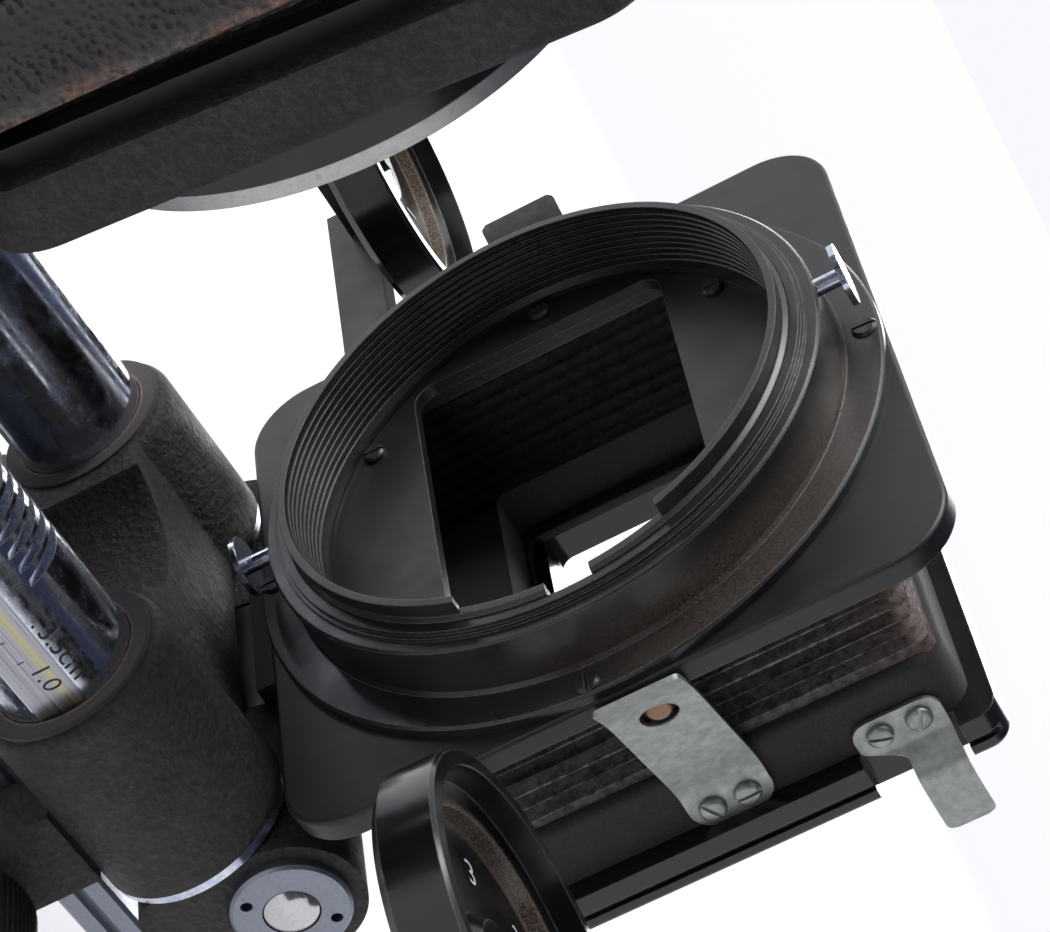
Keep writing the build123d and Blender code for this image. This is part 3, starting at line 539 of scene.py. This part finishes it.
def leaf_spring(name, line, half_width, side, z, body, replaces, thick=0.6):
    """Bent strip along (x from the ring, distance from the middle) points.

    half_width gives its low and high edge from the distance along it and its whole length.
    """
    path = smooth_path([Vector((RING_X + a, b, 0)) for a, b in line])
    lengths = [0.0]
    for a, b in zip(path, path[1:]):
        lengths.append(lengths[-1] + (b - a).length)
    across, verts = 20, []
    for skin in (0, 1):
        for i, p in enumerate(path):
            ahead = path[min(i + 1, len(path) - 1)] - path[max(i - 1, 0)]
            out = Vector((-ahead.y, ahead.x, 0)).normalized()
            out = out if out.y > 0 else -out
            q = p + out * thick * (skin - 0.5)
            low, high = half_width(lengths[i], lengths[-1])
            for j in range(across + 1):
                verts.append((q.x, side * q.y, z + low + (high - low) * j / across))
    rows, columns = len(path), across + 1
    faces = grid_faces(rows, columns)
    faces += [tuple(v + rows * columns for v in f) for f in faces]
    rim = list(range(columns)) + [i * columns + columns - 1 for i in range(1, rows)]
    rim += [(rows - 1) * columns + j for j in range(columns - 2, -1, -1)]
    rim += [i * columns for i in range(rows - 2, 0, -1)]
    for a, b in zip(rim, rim[1:] + rim[:1]):
        faces.append((a, b, b + rows * columns, a + rows * columns))
    return build(name, verts, faces, "zinc", body, replaces, sharp=math.radians(40))


def round_end(s, radius, half):
    """Half width near a rounded end, at a distance s from it."""
    return half if s >= radius else half - radius + math.sqrt(max(0.0, radius**2 - (radius - s) ** 2))


def lettering(name, text, size, mat, body, bend):
    """Flat characters; bend maps (along, up) in millimetres to a place on the object."""
    curve = bpy.data.curves.new(name, "FONT")
    curve.body, curve.size, curve.resolution_u = text, size / 0.72, 4
    loose = bpy.data.objects.new(name, curve)
    bpy.context.scene.collection.objects.link(loose)
    graph = bpy.context.evaluated_depsgraph_get()
    flat = bpy.data.meshes.new_from_object(loose.evaluated_get(graph))
    bpy.data.objects.remove(loose)
    verts = [bend(v.co.x, v.co.y) for v in flat.vertices]
    faces = [tuple(p.vertices) for p in flat.polygons]
    return build(name, verts, faces, mat, body)


# --- pieces --------------------------------------------------------------------------------------


def hood_bellows():
    """Nine sharp pleats between the plate and the rear frame."""
    rings, pleats = [], 9
    x0, x1 = PLATE_X1, BELLOWS_X1
    step = (x1 - x0) / (2 * pleats)
    for k in range(2 * pleats + 1):
        x = x0 + k * step
        if k % 2:
            shoulder = (32.3, 32.3, 1.0, 0.4)
            rings += [(x - 0.09, *shoulder), (x, 32.5, 32.5, 1.0, 1.0), (x + 0.09, *shoulder)]
        else:
            rings.append((x, 29.2, 29.2, 3.4, 0.0))
    rings[-1] = (x1 + 0.4, 32.9, 32.9, 1.0, 0.2)
    cloth = square_bellows("bellows_hood", rings, "cloth", None, ["hood_bellows"], AXIS_Z, rough=0.25)
    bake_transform(cloth)


def leather_rings(stations, steps=7):
    """Rings between (x, half size, corner cut, wear) stations, rounded at the folds; the wear also sets the
    leather's painted ridge highlight.
    """
    rings = []
    for (xa, ha, ca, wa), (xb, hb, cb, wb) in zip(stations, stations[1:]):
        for k in range(steps):
            t = k / steps
            ease = t - 0.10 * math.sin(2 * math.pi * t)
            h = ha + (hb - ha) * ease
            fold = wa * max(0.0, 1 - 6 * t) + wb * max(0.0, 1 - 6 * (1 - t))
            rings.append((xa + (xb - xa) * t, h, h, ca + (cb - ca) * t, fold))
    x, h, c, w = stations[-1]
    return rings + [(x, h, h, c, w)]


def leather_bellows():
    """Two broad folds at the lens standard and a run of deep pleats to the rear standard."""
    # A last figure of 1.0 marks a ridge, made brighter as rubbed wear and as a painted highlight.
    front = [(MIDDLE_X, 33.0, 5, 0), (-23.4, 36.5, 3, 0.4), (-13.4, 38.2, 2.5, 1.0)]
    front += [(-11.6, 31.5, 5, 0), (-9.5, 31.0, 5, 0)]
    rings = leather_rings(front)
    piece = square_bellows("bellows_front", rings, "leather", None, ["front_bellows"], FRONT_Z, LEAN, 0.5)
    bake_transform(piece)
    stations, pleats = [], 7
    x0, x1 = REAR_X1 + 2.5, MAIN_X1
    for k in range(2 * pleats + 1):
        t = k / (2 * pleats)
        outer = 44.0 + (37.0 - 44.0) * t
        x = x0 + (x1 - x0) * t
        # Outer folds carry wear 1.0: rubbed wear plus a painted highlight in the leather.
        stations.append((x, outer, 2.0, 1.0) if k % 2 else (x, outer - 6.5, 6.0, 0.0))
    rings = leather_rings(stations)
    piece = square_bellows("bellows_main", rings, "leather", None, ["main_bellows"], REAR_Z, 0, 0.5)
    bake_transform(piece)


def clips():
    """Latch and filter clips of both sides, with slotted screws."""
    foot = [(45.8, 34.6), (42.0, 34.6), (38.0, 34.8)]
    shut_line = foot + [(28.5, 38.3), (19.0, 41.9), (15.2, 43.8), (11.8, 46.0)]
    open_line = foot + [(28.5, 39.5), (19.0, 44.9), (13.5, 48.5), (8.0, 51.5)]
    filter_line = [(40.8, 34.6), (43.5, 34.6), (46.4, 34.7), (48.2, 36.6), (49.9, 38.2)]
    filter_line += [(54.0, 38.4), (59.5, 38.0)]

    def latch_width(s, total):
        half = min(round_end(s, 3.2, 5.5), round_end(total - s, 0.8, 5.5))
        return -half, half

    def filter_width(s, total):
        base = max(0.0, min(1.0, (s - 4.2) / 3.6))
        base = base * base * (3 - 2 * base)
        low = -8.3 + base * 5.0
        end = min(round_end(s, 2.4, 3.0), round_end(total - s, 1.2, 3.0)) - 3.0
        return low - end, 3.2 + end

    for side, word, line in ((-1, "near", shut_line), (1, "far", open_line)):
        out = (0, side, 0)
        body, gone = f"latch_{word}", [f"latch_clip_{word}"]
        leaf = leaf_spring(f"latch_leaf_{word}", line, latch_width, side, AXIS_Z + 2.2, body, gone)
        spot = place_at(RING_X + 19.6, side * 41.7, AXIS_Z + 2.4, out)
        cut(leaf, turned("hole_tool", [(2.4, -4), (2.4, 7)], spot, "zinc", body, steps=48))
        for k, dz in enumerate((-0.3, 4.4)):
            spot = place_at(RING_X + 42.8, side * CLIP_SCREW_Y, AXIS_Z + dz, out)
            slotted_head(f"latch_screw_{word}_{k}", spot, 1.75, 1.0, 0.5 + 1.1 * k, "zinc", body)
        body, gone = f"filter_{word}", [f"filter_clip_{word}"]
        leaf_spring(f"filter_leaf_{word}", filter_line, filter_width, side, AXIS_Z + 26.8, body, gone)
        for k, dz in enumerate((21.8, 26.9)):
            spot = place_at(RING_X + 43.4, side * CLIP_SCREW_Y, AXIS_Z + dz, out)
            slotted_head(f"filter_screw_{word}_{k}", spot, 1.7, 0.95, 1.2 - 1.6 * k, "zinc", body)


def knobs():
    """Knurled knobs with turned grey faces at the ends of both drive shafts."""
    sets = (
        ("lens", LENS_KNOB, 8.5, 40.0, "lens_drive"),
        ("hood", HOOD_KNOB, 10.5, 35.5, "hood_drive"),
    )
    for word, (x, z), r, y, body in sets:
        for side, end in ((-1, "near"), (1, "far")):
            place = place_at(x, side * y, z, (0, side, 0))
            rim = [(r - 0.8, 0), (r, 0.8), (r, 10.7), (r - 0.8, 11.5), (r - 1.6, 11.5)]
            rim += [(r - 1.7, 11.0), (3.0, 11.0)]
            gone = [f"{word}_drive_knobs"] if side < 0 else []
            turned(f"{word}_knob_{end}", rim, place, "knob", body, gone, 150, 0.35)
            face = [(r - 1.9, 10.6), (r - 1.9, 11.35), (r - 2.1, 11.45), (3.2, 11.45)]
            face += [(3.0, 11.2), (0.1, 11.2)]
            turned(f"{word}_knob_face_{end}", face, place, "grey_satin", body, steps=96)


def scale_marks():
    """Plain numbers and ticks on the numbered rail."""
    flat_y = -RAIL_Y - RAIL_R + FLAT_DEPTH - LIFT

    def on_flat(x, z):
        return lambda u, v: (x + u, flat_y, z + v)

    def on_round(x, angle):
        r = RAIL_R + LIFT

        def bend(u, v):
            a = math.radians(angle) + v / r
            return (x + u, -RAIL_Y - r * math.cos(a), RAIL_Z + r * math.sin(a))

        return bend

    lettering("numeral_length", "13.5cm", 2.5, "dark_ink", "bench", on_round(44.2, 22.0))
    for k in range(6):
        x = 50.0 - k * 14.0
        lettering(f"numeral_{k}", f"{1.0 + k * 0.1:.1f}", 2.4, "dark_ink", "bench", on_flat(x, RAIL_Z - 0.2))
        for j in range(4):
            tick = x - 1.4 - j * 3.5
            size = 0.9 if j == 0 else 0.6
            low, edge = RAIL_Z - 0.8, tick + 0.16
            verts = [(tick, flat_y, low), (edge, flat_y, low)]
            verts += [(edge, flat_y, low + size), (tick, flat_y, low + size)]
            build(f"tick_{k}_{j}", verts, [(0, 1, 2, 3)], "dark_ink", "bench")
    strip = [(-60, RAIL_Z - 3.1), (62, RAIL_Z - 3.1), (62, RAIL_Z + 3.1), (-60, RAIL_Z + 3.1)]
    verts = [(x, flat_y + 0.01, z) for x, z in strip]
    build("scale_face", verts, [(0, 1, 2, 3)], "strip", "bench")


def wheel_numerals():
    """Plain numbers round the floor of each side wheel."""
    floor_z = WHEEL_Z0 + 2.3
    for side, body in ((-1, "wheel_near"), (1, "wheel_far")):
        for k in range(8):
            turn = 2 * math.pi * k / 8 + 0.3

            def bend(u, v, turn=turn):
                a, r = turn - (u - 1.0) / 12.0, 12.0 + v
                return (WHEEL_X + r * math.cos(a), side * WHEEL_Y + r * math.sin(a), floor_z)

            lettering(f"wheel_numeral_{body}_{k}", str(k + 1), 3.2, "white_ink", body, bend)


def domes():
    """Polished domes on the ends of the hood's pivot shaft."""
    for side, word in ((-1, "near"), (1, "far")):
        dome = [(3.45, 0.0), (3.4, 0.5), (2.9, 0.95), (2.0, 1.3), (1.0, 1.5), (0.1, 1.55)]
        place = place_at(HOOD_PIVOT[0], side * 37.3, HOOD_PIVOT[1], (0, side, 0))
        turned(f"pivot_dome_{word}", dome, place, "glassy", "hood")


hood_bellows()
leather_bellows()
clips()
knobs()
scale_marks()
wheel_numerals()
domes()


# --- stage, lights and camera --------------------------------------------------------------------


def stage_plane(name, size, centre, normal, mat, camera=True):
    """Flat stage piece facing a direction, in metres."""
    mesh = bpy.data.meshes.new(name)
    x, y = size[0] / 2, size[1] / 2
    mesh.from_pydata([(-x, -y, 0), (x, -y, 0), (x, y, 0), (-x, y, 0)], [], [(0, 1, 2, 3)])
    mesh.materials.append(mat)
    obj = bpy.data.objects.new(name, mesh)
    obj.location = centre
    obj.rotation_euler = Vector(normal).to_track_quat("Z", "Y").to_euler()
    obj.visible_camera = camera
    bpy.context.scene.collection.objects.link(obj)
    return obj


def area_light(name, position, target, size, power, color=(1, 1, 1)):
    """Soft rectangular light, in metres and watts."""
    data = bpy.data.lights.new(name, "AREA")
    data.shape = "RECTANGLE"
    data.size, data.size_y = size
    data.energy = power
    data.color = color
    obj = bpy.data.objects.new(name, data)
    obj.location = position
    obj.rotation_euler = (Vector(target) - Vector(position)).to_track_quat("-Z", "Y").to_euler()
    bpy.context.scene.collection.objects.link(obj)
    return obj


def build_stage():
    """White floor and surround, with dark cards overhead and behind the camera for the metal."""
    floor = Finish("floor", (0.30, 0.30, 0.31), 0.8, Emission_Strength=0.66)
    floor.set("Emission Color", (0.96, 0.96, 1.0, 1))
    floor.set("Normal", floor.bump(floor.noise(40, 2), 0.05, 0.2))
    stage_plane("floor", (30, 30), (0, 0, 0), (0, 0, 1), floor.mat)
    world = bpy.data.worlds.new("studio")
    bpy.context.scene.world = world
    world.use_nodes = True
    world.node_tree.nodes["Background"].inputs["Color"].default_value = (0.96, 0.96, 1.0, 1)
    world.node_tree.nodes["Background"].inputs["Strength"].default_value = 0.98
    card = Finish("dark_card", (0.012, 0.016, 0.035), 0.9)
    card.set("Base Color", card.mix(card.noise(300, 2), (0.006, 0.008, 0.018), (0.02, 0.028, 0.06)))
    stage_plane("card_top", (1.5, 1.1), (0.45, -0.15, 0.75), (-0.4, 0.1, -1), card.mat, False)
    stage_plane("card_front", (1.4, 1.2), (-0.55, -0.85, 0.5), (0.6, 0.9, -0.25), card.mat, False)
    area_light("key", (-0.55, 0.35, 0.75), (0, 0, 0.08), (0.5, 0.5), 9, (1.0, 0.99, 0.97))
    area_light("rim", (0.5, 0.8, 0.35), (0.05, 0, 0.08), (0.7, 0.4), 5)
    bpy.context.scene.view_settings.view_transform = "Standard"


def build_camera():
    """Long lens low on the near side, rolled so that the rails run down the picture."""
    data = bpy.data.cameras.new("camera")
    data.lens, data.sensor_width = 107.9, 36.0
    data.clip_start, data.clip_end = 0.01, 60
    cam = bpy.data.objects.new("camera", data)
    right = Vector((0.45303, -0.12062, 0.88330))
    ahead = Vector((0.57729, 0.79471, -0.18756)).normalized()
    right = (right - ahead * right.dot(ahead)).normalized()
    up = right.cross(ahead)
    turn = Matrix((right, up, -ahead)).transposed().to_4x4()
    cam.matrix_world = Matrix.Translation((-0.14505, -0.30986, 0.16670)) @ turn
    bpy.context.scene.collection.objects.link(cam)
    bpy.context.scene.camera = cam


build_stage()
build_camera()
